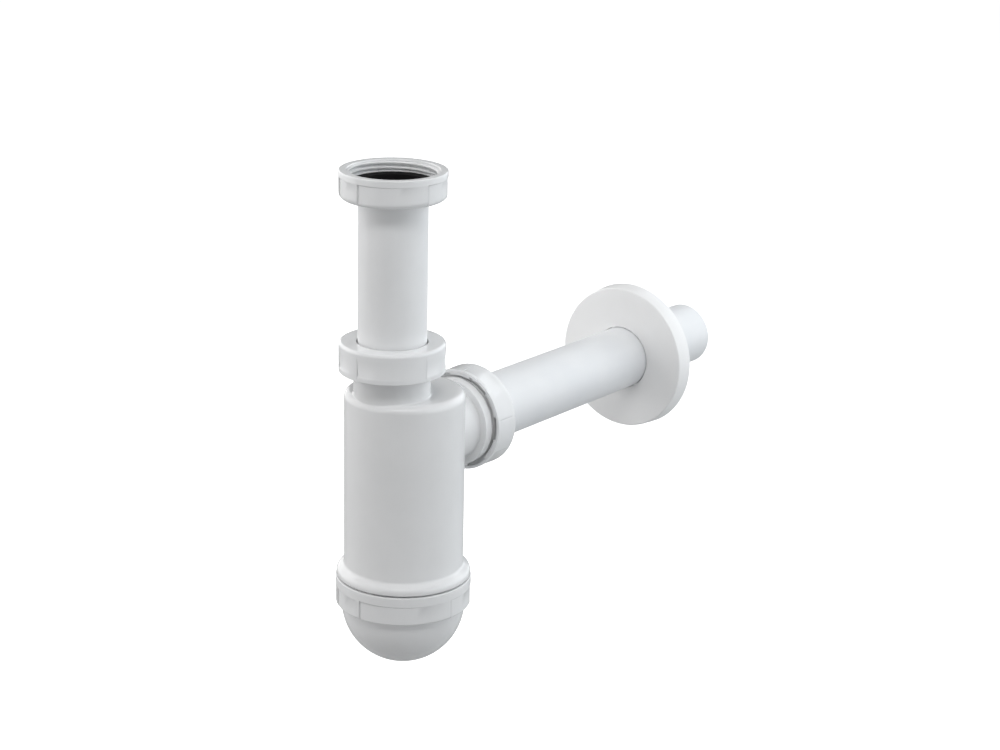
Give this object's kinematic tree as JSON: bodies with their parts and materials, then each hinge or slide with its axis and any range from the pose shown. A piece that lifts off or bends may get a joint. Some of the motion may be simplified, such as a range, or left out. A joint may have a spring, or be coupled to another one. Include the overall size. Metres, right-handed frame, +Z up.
{
  "type": "bottle trap",
  "caption": "White plastic basin bottle trap: union nut, height-adjustable dip tube, bottle with screw-off cleaning cup, side outlet pipe and wall rosette.",
  "frame": {"origin": "centre of the inlet washer's top face, where the basin waste's tail seats, on the axis of the inlet thread", "axes": "+Z up along the inlet thread and the dip tube, +Y along the outlet pipe towards the wall"},
  "size_m": [0.0756, 0.2684, 0.2419],
  "materials": {
    "nut_plastic": "smooth moulded polypropylene, satin gloss",
    "pipe_plastic": "extruded polypropylene, satin with fine lengthwise draw lines",
    "body_plastic": "smooth moulded polypropylene, satin gloss",
    "cup_plastic": "smooth moulded polypropylene, satin gloss",
    "rosette_plastic": "smooth moulded plastic, satin",
    "ring_plastic": "hard plain plastic, matt",
    "black_rubber": "matt moulded rubber",
    "seal_rubber": "matt moulded rubber"
  },
  "bodies": {
    "union": {"inlet_union_nut": "nut_plastic"},
    "inlet": {"inlet_tube": "pipe_plastic", "inlet_washer": "black_rubber"},
    "neck_grip": {"neck_cone_seal": "seal_rubber"},
    "bottle": {"bottle_body": "body_plastic"},
    "neck_ring": {"neck_slip_ring": "ring_plastic"},
    "neck_screw": {"neck_nut": "nut_plastic"},
    "outlet_ring": {"outlet_slip_ring": "ring_plastic"},
    "outlet_screw": {"outlet_nut": "nut_plastic"},
    "outlet_grip": {"outlet_cone_seal": "seal_rubber"},
    "outlet": {"outlet_pipe": "pipe_plastic"},
    "rosette": {"wall_rosette": "rosette_plastic"},
    "cup_gasket": {"cup_seal": "seal_rubber"},
    "cup": {"bottom_cup": "cup_plastic"}
  },
  "joints": [
    {"name": "tube_swivel", "type": "hinge", "parent": "union", "child": "inlet", "pos_m": [0, 0, 0], "axis": [0, 0, 1], "continuous": true},
    {"name": "height_slide", "type": "slide", "parent": "inlet", "child": "neck_grip", "axis": [0, 0, 1], "range_m": [-0.03, 0.02]},
    {"name": "bottle_swivel", "type": "hinge", "parent": "neck_grip", "child": "bottle", "pos_m": [0, 0, -0.0816], "axis": [0, 0, 1], "continuous": true},
    {"name": "neck_nut_travel", "type": "slide", "parent": "bottle", "child": "neck_ring", "axis": [0, 0, 1], "range_m": [0, 0.0081]},
    {"name": "neck_nut_turn", "type": "hinge", "parent": "neck_ring", "child": "neck_screw", "pos_m": [0, 0, -0.0816], "axis": [0, 0, 1], "range_deg": [0, 1260]},
    {"name": "outlet_nut_travel", "type": "slide", "parent": "bottle", "child": "outlet_ring", "axis": [0, 1, 0], "range_m": [0, 0.0081]},
    {"name": "outlet_nut_turn", "type": "hinge", "parent": "outlet_ring", "child": "outlet_screw", "pos_m": [0, 0.0566, -0.126], "axis": [0, 1, 0], "range_deg": [0, 1260]},
    {"name": "pipe_swivel", "type": "hinge", "parent": "bottle", "child": "outlet_grip", "pos_m": [0, 0.0566, -0.126], "axis": [0, 1, 0], "continuous": true},
    {"name": "pipe_slide", "type": "slide", "parent": "outlet_grip", "child": "outlet", "axis": [0, 1, 0], "range_m": [-0.003, 0.01]},
    {"name": "rosette_slide", "type": "slide", "parent": "outlet", "child": "rosette", "axis": [0, 1, 0], "range_m": [-0.105, 0.04]},
    {"name": "cup_travel", "type": "slide", "parent": "bottle", "child": "cup_gasket", "axis": [0, 0, -1], "range_m": [0, 0.01105]},
    {"name": "cup_turn", "type": "hinge", "parent": "cup_gasket", "child": "cup", "pos_m": [0, 0.0092, -0.2], "axis": [0, 0, -1], "range_deg": [0, 990]}
  ],
  "couplings": [
    {"joint": "neck_nut_travel", "follows": "neck_nut_turn", "m_per_rad": 0.00036749},
    {"joint": "outlet_nut_travel", "follows": "outlet_nut_turn", "m_per_rad": 0.00036749},
    {"joint": "cup_travel", "follows": "cup_turn", "m_per_rad": 0.00063662}
  ]
}
